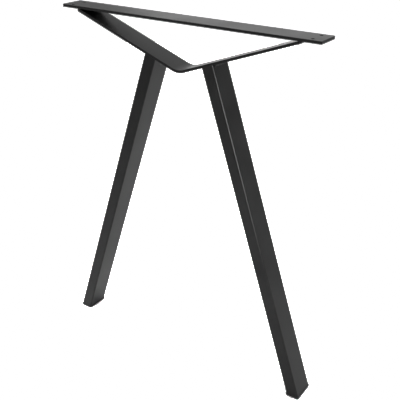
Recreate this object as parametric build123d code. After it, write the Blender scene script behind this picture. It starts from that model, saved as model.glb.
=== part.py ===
from build123d import *
import os
from math import atan2, cos, degrees, radians, sin, tan

# Welded end support of a table: a top plate, a bent flat bar under it and two spread tube legs.
# X runs along the plate, Y across it and Z up. The origin is on the floor, midway between the feet.
# All sizes are in millimetres, and angles are in degrees.

# Whole support
overall_height = 720.0
foot_spread = 560.0  # between the centres of the two feet
leg_top_spread = 129.0  # between the centre lines of the legs at the underside of the bar
support_depth = 50.0  # across: plate, bar and tubes are flush with each other, front and back

# Top plate, a flat bar
plate_length = 560.0
plate_width = support_depth
plate_thickness = 5.0
plate_corner_radius = 1.5  # corners in plan
plate_edge_radius = 0.5  # long and short edges, top and bottom

# Screw holes, one pair near each end of the plate
hole_diameter = 6.5
hole_end_inset = 20.0  # end of the plate to the hole centres
hole_side_inset = 9.0  # side of the plate to the hole centres

# Bent bar, the V under the plate
bar_width = support_depth
bar_thickness = 5.0
bar_end_inset = 39.0  # end of the plate to the end of the bar
bar_end_land = 2.0  # flat on each end of the bar that lies against the plate
bar_corner_radius = 1.5  # upright corners of the two ends
bar_edge_radius = 0.5  # long edges
arm_slope = 20.0  # each arm, off level
bend_radius = 35.0  # inside of the bend

# Leg tubes
tube_width = 25.0  # in the plane of the support
tube_depth = support_depth  # across it
tube_wall = 1.5
tube_corner_radius = 3.0  # outside

# Foot caps, moulded: a level flange with upright sides under the tube, and a ribbed plug inside it
cap_flange_thickness = 5.0
cap_flange_proud = 1.0  # beyond the level cut of the tube, all round
cap_edge_radius = 1.5  # lower edge of the flange
cap_rim_radius = 0.5  # upper edge of the flange
plug_depth = 18.0
plug_wall = 1.6
plug_clearance = 0.6  # plug to the inside of the tube
rib_clearance = 0.05  # rib to the inside of the tube
rib_height = 1.2
rib_pitch = 5.0
rib_count = 3

# Fillet welds
weld_size = 4.0  # along each of the two faces
weld_crown = 0.5  # bulge of the bead beyond a flat face
weld_end_stop = 1.5  # bead stops short of the edges of what it joins

# Derived places, in the XZ plane
plate_underside = overall_height - plate_thickness
bar_half_span = plate_length / 2 - bar_end_inset
slope = radians(arm_slope)
bar_top_vertex = plate_underside - (bar_half_span - bar_end_land) * tan(slope)
bar_low_vertex = bar_top_vertex - bar_thickness / cos(slope)
bend_centre = bar_top_vertex + bend_radius / cos(slope)
leg_top_x = leg_top_spread / 2
leg_top_z = bar_low_vertex + leg_top_x * tan(slope)
foot_x = foot_spread / 2
lean = atan2(foot_x - leg_top_x, leg_top_z - cap_flange_thickness)
leg_up = Vector(-sin(lean), 0, cos(lean))
leg_out = Vector(cos(lean), 0, sin(lean))
arm_out = Vector(cos(slope), 0, sin(slope))


def in_frame(x, z):
    """Point of the support's middle plane."""
    return Vector(x, 0, z)


def across(outline, depth):
    """Solid of an outline in the XZ plane, spread evenly to both sides along Y."""
    return extrude(make_face(outline), amount=depth / 2, dir=(0, 1, 0), both=True)


def bar_curve(vertex, radius, reach):
    """One long face of the bent bar, from -reach to +reach: straight, rounded bend, straight."""
    tangent_x = radius * sin(slope)
    tangent_z = vertex + tangent_x * tan(slope)
    end_z = vertex + reach * tan(slope)
    left_arm = Line(in_frame(-reach, end_z), in_frame(-tangent_x, tangent_z))
    bend = ThreePointArc(
        in_frame(-tangent_x, tangent_z),
        in_frame(0, bend_centre - radius),
        in_frame(tangent_x, tangent_z),
    )
    right_arm = Line(in_frame(tangent_x, tangent_z), in_frame(reach, end_z))
    return [left_arm, bend, right_arm]


def make_top_plate():
    """Flat bar with softened edges and four screw holes."""
    middle = overall_height - plate_thickness / 2
    plate = Pos(0, 0, middle) * Box(plate_length, plate_width, plate_thickness)
    plate = fillet(plate.edges().filter_by(Axis.Z), plate_corner_radius)
    rims = plate.edges().group_by(Axis.Z)[0] + plate.edges().group_by(Axis.Z)[-1]
    plate = fillet(rims, plate_edge_radius)
    spacing_x = plate_length - 2 * hole_end_inset
    spacing_y = plate_width - 2 * hole_side_inset
    hole = Cylinder(hole_diameter / 2, 2 * plate_thickness)
    for place in GridLocations(spacing_x, spacing_y, 2, 2):
        plate -= Pos(0, 0, middle) * place * hole
    return plate


def make_v_bracket():
    """Flat bar bent once, each end flat against the plate and then cut off upright."""
    land_x = bar_half_span - bar_end_land
    end_low = bar_low_vertex + bar_half_span * tan(slope)
    outline = bar_curve(bar_top_vertex, bend_radius, land_x)
    outline += bar_curve(bar_low_vertex, bend_radius + bar_thickness, bar_half_span)
    for side in (-1, 1):
        land_start = in_frame(side * land_x, plate_underside)
        land_end = in_frame(side * bar_half_span, plate_underside)
        outline.append(Line(land_start, land_end))
        outline.append(Line(land_end, in_frame(side * bar_half_span, end_low)))
    bar = across(outline, bar_width)
    by_side = bar.edges().group_by(Axis.Y)
    long_edges = [edge for edge in by_side[0] + by_side[-1] if edge.length > 2 * bar_thickness]
    bar = fillet(long_edges, bar_edge_radius)
    plan = RectangleRounded(2 * bar_half_span, bar_width, bar_corner_radius)
    return bar & extrude(plan, amount=overall_height)


def rounded_section(width, depth, corner_radius):
    """Rectangle with rounded corners, or sharp ones where an inset has used up the radius."""
    if corner_radius > 0:
        return RectangleRounded(width, depth, corner_radius)
    return Rectangle(width, depth)


def leg_prism(width, depth, corner_radius):
    """Rounded bar along the centre line of the right leg, longer than the leg at both ends."""
    foot = in_frame(foot_x, cap_flange_thickness)
    section_plane = Plane(origin=foot, x_dir=leg_out, z_dir=leg_up)
    section = section_plane * rounded_section(width, depth, corner_radius)
    return extrude(section, amount=overall_height + foot_spread, dir=leg_up, both=True)


def level_slab(low, high):
    """Everything of the right leg between two heights."""
    reach = plate_length + foot_spread
    return Pos(0, 0, (low + high) / 2) * Box(2 * reach, 2 * tube_depth, high - low)


def make_leg_tube():
    """Right leg: the tube's top is cut to the underside of the bar and its foot is cut level."""
    inner_radius = tube_corner_radius - tube_wall
    tube = leg_prism(tube_width, tube_depth, tube_corner_radius)
    tube -= leg_prism(tube_width - 2 * tube_wall, tube_depth - 2 * tube_wall, inner_radius)
    reach = plate_length + foot_spread
    reach_z = bar_low_vertex + reach * tan(slope)
    below_bar = bar_curve(bar_low_vertex, bend_radius + bar_thickness, reach)
    floor_line = Polyline(
        in_frame(-reach, reach_z),
        in_frame(-reach, cap_flange_thickness),
        in_frame(reach, cap_flange_thickness),
        in_frame(reach, reach_z),
    )
    return tube & across(below_bar + [floor_line], 2 * tube_depth)


def make_foot_cap():
    """Right foot: an upright flange under the level cut of the tube, and a hollow ribbed plug above it."""
    bore_width = tube_width - 2 * tube_wall
    bore_depth = tube_depth - 2 * tube_wall
    bore_radius = tube_corner_radius - tube_wall
    plug_top = cap_flange_thickness + plug_depth

    def inset_prism(inset):
        """Bore of the tube made smaller by the same inset all round."""
        return leg_prism(bore_width - 2 * inset, bore_depth - 2 * inset, bore_radius - inset)

    flange_plan = RectangleRounded(
        tube_width / cos(lean) + 2 * cap_flange_proud,
        tube_depth + 2 * cap_flange_proud,
        tube_corner_radius + cap_flange_proud,
    )
    flange = extrude(Pos(foot_x, 0, 0) * flange_plan, amount=cap_flange_thickness)
    flange = fillet(flange.edges().group_by(Axis.Z)[0], cap_edge_radius)
    flange = fillet(flange.edges().group_by(Axis.Z)[-1], cap_rim_radius)
    plug = inset_prism(plug_clearance) & level_slab(cap_flange_thickness / 2, plug_top)
    for index in range(rib_count):
        rib_low = cap_flange_thickness + (index + 0.5) * rib_pitch
        plug += inset_prism(rib_clearance) & level_slab(rib_low, rib_low + rib_height)
    hollow = inset_prism(plug_clearance + plug_wall)
    plug -= hollow & level_slab(cap_flange_thickness, plug_top + plug_depth)
    return flange + plug


def fillet_bead(corner, first_face, second_face, length):
    """Weld bead in a corner, along two face directions that lead away from it."""
    first = corner + first_face * weld_size
    second = corner + second_face * weld_size
    outward = (first_face + second_face).normalized()
    crown = (first + second) * 0.5 + outward * weld_crown
    outline = [Line(corner, first), ThreePointArc(first, crown, second), Line(second, corner)]
    return across(outline, length)


def make_bracket_weld():
    """Right end of the bar, across its end face and the underside of the plate."""
    corner = in_frame(bar_half_span, plate_underside)
    length = min(plate_width, bar_width - 2 * bar_corner_radius) - 2 * weld_end_stop
    return fillet_bead(corner, Vector(0, 0, -1), Vector(1, 0, 0), length)


def make_leg_weld(side):
    """Right leg under the bar: side is 1 on the outer face of the tube and -1 on the inner one."""
    half_seat = tube_width / 2 / arm_out.dot(leg_out)
    corner = in_frame(leg_top_x, leg_top_z) + arm_out * (side * half_seat)
    length = min(bar_width, tube_depth - 2 * tube_corner_radius) - 2 * weld_end_stop
    return fillet_bead(corner, leg_up * -1, arm_out * side, length)


nodes = {"top_plate": make_top_plate(), "v_bracket": make_v_bracket()}
right_pieces = {
    "leg_tube": make_leg_tube(),
    "foot_cap": make_foot_cap(),
    "bracket_weld": make_bracket_weld(),
    "leg_outer_weld": make_leg_weld(1),
    "leg_inner_weld": make_leg_weld(-1),
}
for name, piece in right_pieces.items():
    nodes["right_" + name] = piece
    nodes["left_" + name] = mirror(piece, about=Plane.YZ)

os.makedirs("parts", exist_ok=True)
for name, solid in nodes.items():
    export_step(solid, f"parts/{name}.step")

print(f"legs lean {degrees(lean):.2f} degrees off upright")
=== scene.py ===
"""Looks of a welded table base: coated plate, bent bar and tube legs, rippled welds, moulded foot caps.

Units are metres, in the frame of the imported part: X along the top plate, Y across it, Z up from the floor.
"""
import logging
import math
from dataclasses import dataclass
from enum import Enum
from typing import Any

import bpy
from mathutils import Matrix, Vector


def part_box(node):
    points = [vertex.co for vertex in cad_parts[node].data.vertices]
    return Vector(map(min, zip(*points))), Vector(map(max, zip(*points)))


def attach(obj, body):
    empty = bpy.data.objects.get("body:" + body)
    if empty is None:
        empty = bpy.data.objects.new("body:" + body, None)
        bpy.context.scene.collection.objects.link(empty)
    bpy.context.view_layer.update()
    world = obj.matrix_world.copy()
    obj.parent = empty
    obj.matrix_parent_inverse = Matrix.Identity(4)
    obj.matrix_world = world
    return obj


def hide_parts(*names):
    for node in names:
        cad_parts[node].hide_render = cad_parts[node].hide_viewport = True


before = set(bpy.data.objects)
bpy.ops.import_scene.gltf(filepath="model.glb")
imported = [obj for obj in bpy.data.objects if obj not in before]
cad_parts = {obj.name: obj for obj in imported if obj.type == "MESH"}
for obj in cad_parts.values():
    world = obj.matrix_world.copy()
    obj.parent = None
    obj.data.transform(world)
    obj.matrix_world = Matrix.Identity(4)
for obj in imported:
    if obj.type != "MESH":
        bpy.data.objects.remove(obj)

MM = 0.001
ROOT_BODY = "root"
NOISE_BAND = (0.3, 0.7)  # most of a noise lies between these values
CLOUD_DETAIL = 4.0  # octaves of each noise
PEEL_DETAIL = 1.0
GRAIN_DETAIL = 2.0
COMBINED_CURVE = 3  # the film curve for all three colours
ACROSS = Vector((0.0, 1.0, 0.0))
UP = Vector((0.0, 0.0, 1.0))
log = logging.getLogger("table_base")


class Side(Enum):
    """Half of the support, with its sign along X."""

    LEFT = -1
    RIGHT = 1

    @property
    def word(self) -> str:
        """First word of the names of this half's pieces."""
        return self.name.lower()


class Seam(Enum):
    """Where a fillet weld lies, as the last words of its node's name."""

    BAR_END = "bracket_weld"
    LEG_OUTSIDE = "leg_outer_weld"
    LEG_INSIDE = "leg_inner_weld"


def linear(hex_colour: str) -> tuple[float, float, float, float]:
    """Turns an sRGB hex colour into linear light.

    Args:
        hex_colour: Six hex digits after a hash sign.

    Returns:
        Red, green, blue and a full alpha, linear.
    """
    channels = [int(hex_colour[i : i + 2], 16) / 255 for i in (1, 3, 5)]
    red, green, blue = (c / 12.92 if c <= 0.04045 else ((c + 0.055) / 1.055) ** 2.4 for c in channels)
    return (red, green, blue, 1.0)


def repeats(size_mm: float) -> float:
    """Noise scale, in repeats per metre, for features of that size in millimetres."""
    return 1.0 / (size_mm * MM)


def add_node(
    tree: bpy.types.NodeTree,
    kind: str,
    settings: dict[str, Any] | None = None,
    links: dict[str, bpy.types.NodeSocket] | None = None,
) -> bpy.types.Node:
    """Adds one shader node with its settings and its links.

    Args:
        tree: Node tree that gets the node.
        kind: The node's type, such as ShaderNodeTexNoise.
        settings: Values by name, each the default of an input socket or else an attribute of the node.
        links: Output sockets by the name of the input socket that each one feeds.

    Returns:
        The new node.
    """
    node = tree.nodes.new(kind)
    for name, value in (settings or {}).items():
        if name in node.inputs:
            node.inputs[name].default_value = value
        else:
            setattr(node, name, value)
    for name, output in (links or {}).items():
        tree.links.new(output, node.inputs[name])
    return node


@dataclass(frozen=True)
class Grainy:
    """A finish made of two near tones, an uneven gloss, a wavy film and a fine grain.

    Sizes and depths are in millimetres, and roughness runs from the glossier patches to the duller ones.
    """

    name: str
    dark: str
    light: str
    roughness: tuple[float, float]
    ior: float
    cloud_mm: float
    peel_mm: float
    peel_depth_mm: float
    grain_mm: float
    grain_depth_mm: float

    def build(self) -> bpy.types.Material:
        """Makes the material, with all patterns in object space.

        Returns:
            The finished material.
        """
        material = bpy.data.materials.new(self.name)
        material.use_nodes = True
        tree = material.node_tree
        place = {"Vector": add_node(tree, "ShaderNodeTexCoord").outputs["Object"]}
        noise = "ShaderNodeTexNoise"
        cloud, peel, grain = (
            add_node(tree, noise, {"Scale": repeats(size), "Detail": detail}, place).outputs["Fac"]
            for size, detail in (
                (self.cloud_mm, CLOUD_DETAIL),
                (self.peel_mm, PEEL_DETAIL),
                (self.grain_mm, GRAIN_DETAIL),
            )
        )
        tone = add_node(tree, "ShaderNodeValToRGB", links={"Fac": cloud})
        for stop, place_on_ramp, colour in zip(tone.color_ramp.elements, NOISE_BAND, (self.dark, self.light)):
            stop.position = place_on_ramp
            stop.color = linear(colour)
        low, high = NOISE_BAND
        glossy, dull = self.roughness
        gloss = add_node(
            tree,
            "ShaderNodeMapRange",
            {"From Min": low, "From Max": high, "To Min": glossy, "To Max": dull},
            {"Value": cloud},
        )
        film = add_node(tree, "ShaderNodeBump", {"Distance": self.peel_depth_mm * MM}, {"Height": peel})
        grit = add_node(
            tree,
            "ShaderNodeBump",
            {"Distance": self.grain_depth_mm * MM},
            {"Height": grain, "Normal": film.outputs["Normal"]},
        )
        shader = tree.nodes["Principled BSDF"]
        shader.inputs["IOR"].default_value = self.ior
        tree.links.new(tone.outputs["Color"], shader.inputs["Base Color"])
        tree.links.new(gloss.outputs["Result"], shader.inputs["Roughness"])
        tree.links.new(grit.outputs["Normal"], shader.inputs["Normal"])
        return material


# Polyester powder coat, sprayed on steel and baked: a near-black skin of low sheen with a fine, dry grain.
# It stays dark face on, so its IOR is below polyester's usual 1.5, and turns grey where it mirrors pale
# paper at a low angle. The real grit is about 0.3 mm and is drawn coarser.
POWDER_COAT = Grainy(
    name="powder_coat_matt_black",
    dark="#090909",
    light="#171717",
    roughness=(0.34, 0.40),
    ior=1.35,
    cloud_mm=60.0,
    peel_mm=7.0,
    peel_depth_mm=0.02,
    grain_mm=1.0,
    grain_depth_mm=0.03,
)

# The same coat over a weld: it flows off the ripples and lies thicker and smoother between them.
WELD_COAT = Grainy(
    name="powder_coat_over_weld",
    dark="#0e0e0e",
    light="#141414",
    roughness=(0.28, 0.34),
    ior=1.35,
    cloud_mm=12.0,
    peel_mm=2.5,
    peel_depth_mm=0.03,
    grain_mm=0.8,
    grain_depth_mm=0.02,
)

# Polyethylene foot cap, injection moulded in a spark-eroded mould: a soft black with a dull, waxy grain.
# The real grain is about 0.2 mm and is drawn coarser.
CAP_PLASTIC = Grainy(
    name="moulded_black_polyethylene",
    dark="#101010",
    light="#171717",
    roughness=(0.50, 0.62),
    ior=1.51,
    cloud_mm=15.0,
    peel_mm=3.0,
    peel_depth_mm=0.01,
    grain_mm=0.7,
    grain_depth_mm=0.03,
)


@dataclass(frozen=True)
class PaperFloor:
    """Matt white paper sweep: a plain pale ground that only shows soft shadows."""

    name: str = "matt_white_paper"
    colour: str = "#f4f4f4"
    roughness: float = 0.9
    shine: float = 0.0

    def build(self) -> bpy.types.Material:
        """Makes the paper, one plain tone set on the shader itself.

        Returns:
            The finished material.
        """
        material = bpy.data.materials.new(self.name)
        material.use_nodes = True
        shader = material.node_tree.nodes["Principled BSDF"]
        shader.inputs["Base Color"].default_value = linear(self.colour)
        shader.inputs["Roughness"].default_value = self.roughness
        shader.inputs["Specular IOR Level"].default_value = self.shine
        return material


def dress_node(node: str, material: bpy.types.Material) -> None:
    """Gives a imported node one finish.

    Args:
        node: Name of the node.
        material: Finish that fills all of its material slots.
    """
    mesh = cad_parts[node].data
    mesh.materials.clear()
    mesh.materials.append(material)
    log.info("%s dressed in %s", node, material.name)


@dataclass
class SteelFrame:
    """Top plate, bent bar and leg tubes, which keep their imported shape."""

    nodes: tuple[str, ...] = ("top_plate", "v_bracket", "left_leg_tube", "right_leg_tube")

    def dress(self, coat: bpy.types.Material) -> None:
        """Coats each piece.

        Args:
            coat: Powder coat of the flat steel.
        """
        for node in self.nodes:
            dress_node(node, coat)


@dataclass
class FootCaps:
    """Moulded caps under the tubes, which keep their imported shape."""

    nodes: tuple[str, ...] = ("left_foot_cap", "right_foot_cap")

    def dress(self, plastic: bpy.types.Material) -> None:
        """Gives each cap its plastic.

        Args:
            plastic: Finish of the moulding.
        """
        for node in self.nodes:
            dress_node(node, plastic)


@dataclass
class WeldBead:
    """One fillet weld: a bead of overlapping crescents in the corner between two faces.

    The two face directions lead away from the corner. Lengths are in metres.
    """

    node: str
    corner: Vector
    first_face: Vector
    second_face: Vector
    leg: float
    length: float
    crown: float = 0.25 * MM
    ripple_height: float = 0.35 * MM
    ripple_pitch: float = 1.7 * MM
    ripple_bow: float = 1.2 * MM
    ripple_lean: float = 1.7  # above 1, each crescent falls more steeply than it rises
    ripple_fade: float = 0.5  # below 1, the crescents keep their height nearly to the two faces
    end_run: float = 2.2 * MM
    end_share: float = 0.25  # of the full section, left at the very ends
    step: float = 0.2 * MM
    columns: int = 14

    def ripple(self, along: float, across: float) -> float:
        """Height of the crescents at one point of the bead, from 0 to 1.

        Args:
            along: Place along the bead.
            across: Place across the bead, 0 at the first face and 1 at the second.

        Returns:
            A smooth wave with a steep front, bowed forward in the middle of the bead.
        """
        bow = self.ripple_bow * (1.0 - (2.0 * across - 1.0) ** 2)
        phase = ((along - bow) / self.ripple_pitch) % 1.0
        edge = math.sin(math.pi * across) ** self.ripple_fade
        return edge * math.sin(math.pi * phase**self.ripple_lean)

    def section(self, along: float) -> list[Vector]:
        """Outline of the bead at one place.

        Args:
            along: Place along the bead, 0 in its middle.

        Returns:
            Points from the first face round the crown to the second face, then the corner.
        """
        from_end = min(1.0, (self.length / 2 - abs(along)) / self.end_run)
        round_end = math.sqrt(max(0.0, 1.0 - (1.0 - from_end) ** 2))
        swell = round_end * (1.0 - self.end_share) + self.end_share
        outward = (self.first_face + self.second_face).normalized()
        points = []
        for column in range(self.columns + 1):
            share = column / self.columns
            chord = self.first_face.lerp(self.second_face, share) * self.leg
            bulge = self.crown * 4.0 * share * (1.0 - share) + self.ripple_height * self.ripple(along, share)
            points.append(self.corner + chord * swell + outward * (bulge * swell) + ACROSS * along)
        points.append(self.corner + ACROSS * along)
        return points

    def build(self) -> bpy.types.Object:
        """Sweeps the outline along the corner.

        Returns:
            The bead, riding on the part in place of its plain node.
        """
        count = round(self.length / self.step)
        stations = [self.length * (i / count - 0.5) for i in range(count + 1)]
        rings = [self.section(along) for along in stations]
        ring_size = len(rings[0])
        points = [point for ring in rings for point in ring]
        faces = []
        for row in range(count):
            for column in range(ring_size):
                here = row * ring_size + column
                beside = row * ring_size + (column + 1) % ring_size
                faces.append((here, beside, beside + ring_size, here + ring_size))
        faces.append(tuple(reversed(range(ring_size))))
        faces.append(tuple(range(count * ring_size, (count + 1) * ring_size)))
        mesh = bpy.data.meshes.new(self.node + "_bead")
        mesh.from_pydata(points, [], faces)
        mesh.validate()
        bead = bpy.data.objects.new(self.node + "_bead", mesh)
        bpy.context.collection.objects.link(bead)
        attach(bead, ROOT_BODY)
        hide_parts(self.node)
        return bead


@dataclass
class Welds:
    """The six fillet welds of the support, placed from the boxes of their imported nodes."""

    leg_mm: float = 4.0
    arm_slope_deg: float = 20.0
    leg_lean_deg: float = 18.58

    def place(self, side: Side, seam: Seam) -> WeldBead:
        """Works out the corner and the two faces of one weld.

        Args:
            side: Half of the support.
            seam: Which of that half's welds.

        Returns:
            The bead, not built yet.
        """
        node = f"{side.word}_{seam.value}"
        low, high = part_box(node)
        slope = math.radians(self.arm_slope_deg)
        lean = math.radians(self.leg_lean_deg)
        leg = self.leg_mm * MM
        sign = side.value
        arm_out = Vector((sign * math.cos(slope), 0.0, math.sin(slope)))
        leg_down = Vector((sign * math.sin(lean), 0.0, -math.cos(lean)))
        if seam is Seam.BAR_END:
            first, second = -UP, Vector((sign, 0.0, 0.0))
            corner_x, corner_z = (low[0] if sign > 0 else high[0]), high[2]
        elif seam is Seam.LEG_OUTSIDE:
            first, second = leg_down, arm_out
            corner_x, corner_z = (low[0] if sign > 0 else high[0]), high[2] - leg * math.sin(slope)
        else:
            first, second = leg_down, -arm_out
            inner_end = low[0] if sign > 0 else high[0]
            corner_x, corner_z = inner_end + sign * leg * math.cos(slope), high[2]
        return WeldBead(node, Vector((corner_x, 0.0, corner_z)), first, second, leg, high[1] - low[1])

    def build(self, coat: bpy.types.Material) -> None:
        """Builds and dresses all beads.

        Args:
            coat: Powder coat over the welds.
        """
        for side in Side:
            for seam in Seam:
                bead = self.place(side, seam).build()
                bead.data.materials.append(coat)
                bead.data.polygons.foreach_set("use_smooth", [True] * len(bead.data.polygons))
                log.info("%s built, %d faces", bead.name, len(bead.data.polygons))


@dataclass
class PhotoCamera:
    """Camera at the photograph's viewing angle. Angles are in degrees and lengths in metres."""

    azimuth: float = 34.09
    elevation: float = 25.90
    roll: float = 0.45
    distance: float = 1.37585
    aim_height: float = 0.36
    aim_right: float = 0.02895
    aim_up: float = -0.00323
    focal_px: float = 676.69
    image_px: float = 400.0
    sensor_mm: float = 36.0

    def build(self) -> bpy.types.Object:
        """Makes the camera and gives it to the scene.

        Returns:
            The camera object.
        """
        azimuth, elevation, roll = (math.radians(a) for a in (self.azimuth, self.elevation, self.roll))
        level = math.cos(elevation)
        back = Vector((math.sin(azimuth) * level, -math.cos(azimuth) * level, math.sin(elevation)))
        right = Vector((math.cos(azimuth), math.sin(azimuth), 0.0))
        up = back.cross(right)
        aim = UP * self.aim_height + right * self.aim_right + up * self.aim_up
        rolled_right = right * math.cos(roll) + up * math.sin(roll)
        rolled_up = up * math.cos(roll) - right * math.sin(roll)
        data = bpy.data.cameras.new("photo_camera")
        data.sensor_width = self.sensor_mm
        data.lens = self.focal_px * self.sensor_mm / self.image_px
        camera = bpy.data.objects.new("photo_camera", data)
        axes = Matrix((rolled_right, rolled_up, back)).transposed().to_4x4()
        camera.matrix_world = Matrix.Translation(aim + back * self.distance) @ axes
        bpy.context.collection.objects.link(camera)
        bpy.context.scene.camera = camera
        return camera


@dataclass
class SoftBox:
    """Soft studio light that the camera doesn't see.

    Lengths are in metres, power in watts. The spread is the full angle of the light, in degrees: less than
    180 is a box with a grid in front. A light with a name in only is flagged off all other objects.
    """

    name: str
    place: tuple[float, float, float]
    aim: tuple[float, float, float]
    width: float
    height: float
    power: float
    spread: float = 180.0
    only: str | None = None

    def build(self) -> bpy.types.Object:
        """Makes the light, turned towards its aim.

        Returns:
            The light object.
        """
        data = bpy.data.lights.new(self.name, "AREA")
        data.shape = "RECTANGLE"
        data.size = self.width
        data.size_y = self.height
        data.energy = self.power
        data.spread = math.radians(self.spread)
        light = bpy.data.objects.new(self.name, data)
        light.location = self.place
        towards = Vector(self.aim) - Vector(self.place)
        light.rotation_euler = towards.to_track_quat("-Z", "Y").to_euler()
        light.visible_camera = False
        if self.only:
            reached = bpy.data.collections.new(self.name + "_reaches")
            reached.objects.link(bpy.data.objects[self.only])
            light.light_linking.receiver_collection = reached
        bpy.context.collection.objects.link(light)
        return light


@dataclass
class Studio:
    """Round pale floor, soft lights and a surround that is pale at the horizon and dark overhead.

    Lengths are in metres. The legs mirror the floor, so two lights brighten it in front of them and behind,
    and a small one clears the shadow at the left foot.
    The film curve works on linear light: it leaves tones up to its toe as they are and takes the paper,
    from its shoulder up, to white, as a bright product photograph does.
    """

    floor_radius: float = 3.0
    floor_sides: int = 128
    horizon_light: float = 0.49
    film_toe: float = 0.35
    film_middle: tuple[float, float] = (0.415, 0.64)
    film_shoulder: float = 0.48
    lights: tuple[SoftBox, ...] = (
        SoftBox("ceiling_panel", (0.0, 0.0, 9.0), (0.0, 0.0, 0.0), 12.0, 12.0, 515.0),
        SoftBox("front_floor_light", (-0.25, -0.55, 1.5), (-0.25, -0.55, 0.0), 0.6, 0.6, 3.3, 90.0),
        SoftBox("back_floor_light", (0.0, 0.55, 1.9), (0.0, 0.55, 0.0), 0.8, 0.8, 2.9, 80.0),
        SoftBox("back_high_light", (-1.1, 2.4, 2.5), (0.0, 0.0, 0.65), 1.8, 1.2, 4.8),
        SoftBox("back_low_light", (-1.0, 3.1, 0.9), (0.0, 0.0, 0.65), 2.8, 1.0, 12.0),
        SoftBox("back_left_light", (-2.2, 2.2, 1.2), (0.0, 0.0, 0.6), 1.6, 1.0, 0.8),
        SoftBox("left_foot_light", (0.2, -0.48, 0.46), (-0.255, 0.0, 0.0), 0.1, 0.1, 0.06, 24.0, "paper_floor"),
        SoftBox(
            "right_leg_light", (1.38, -0.84, 0.70), (0.12, -0.02, 0.5), 1.0, 0.42, 4.6, 60.0, "right_leg_tube"
        ),
    )

    def build_floor(self, paper: bpy.types.Material) -> bpy.types.Object:
        """Lays a round floor under the feet.

        Args:
            paper: Finish of the floor.

        Returns:
            The floor.
        """
        turns = [math.tau * i / self.floor_sides for i in range(self.floor_sides)]
        rim = [(self.floor_radius * math.cos(t), self.floor_radius * math.sin(t), 0.0) for t in turns]
        mesh = bpy.data.meshes.new("paper_floor")
        mesh.from_pydata(rim, [], [tuple(range(self.floor_sides))])
        mesh.materials.append(paper)
        floor = bpy.data.objects.new("paper_floor", mesh)
        bpy.context.collection.objects.link(floor)
        return floor

    def build_surround(self) -> bpy.types.World:
        """Makes the light of the room, which fades evenly from the horizon to the ceiling.

        Returns:
            The scene's new world.
        """
        world = bpy.data.worlds.new("studio_surround")
        world.use_nodes = True
        tree = world.node_tree
        direction = add_node(tree, "ShaderNodeTexCoord").outputs["Generated"]
        height = add_node(tree, "ShaderNodeSeparateXYZ", links={"Vector": direction}).outputs["Z"]
        fade = {"To Min": self.horizon_light, "To Max": 0.0}
        glow = add_node(tree, "ShaderNodeMapRange", fade, {"Value": height}).outputs["Result"]
        background = tree.nodes["Background"]
        background.inputs["Color"].default_value = linear("#ffffff")
        tree.links.new(glow, background.inputs["Strength"])
        bpy.context.scene.world = world
        return world

    def expose(self) -> None:
        """Sets the film: plain tones, with the paper taken to white."""
        view = bpy.context.scene.view_settings
        view.view_transform = "Standard"
        view.use_curve_mapping = True
        curve = view.curve_mapping.curves[COMBINED_CURVE]
        curve.points.new(self.film_toe, self.film_toe)
        curve.points.new(*self.film_middle)
        curve.points.new(self.film_shoulder, 1.0)
        for point in curve.points:
            point.handle_type = "VECTOR"
        view.curve_mapping.update()

    def build(self, paper: bpy.types.Material) -> None:
        """Sets up floor, room, lights and film.

        Args:
            paper: Finish of the floor.
        """
        self.build_floor(paper)
        self.build_surround()
        for light in self.lights:
            light.build()
        self.expose()


def main() -> None:
    """Builds the support's pieces, the studio and the camera."""
    logging.basicConfig(level=logging.INFO, format="%(name)s: %(message)s")
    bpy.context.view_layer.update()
    SteelFrame().dress(POWDER_COAT.build())
    FootCaps().dress(CAP_PLASTIC.build())
    Welds().build(WELD_COAT.build())
    Studio().build(PaperFloor().build())
    PhotoCamera().build()


if __name__ == "__main__":
    main()
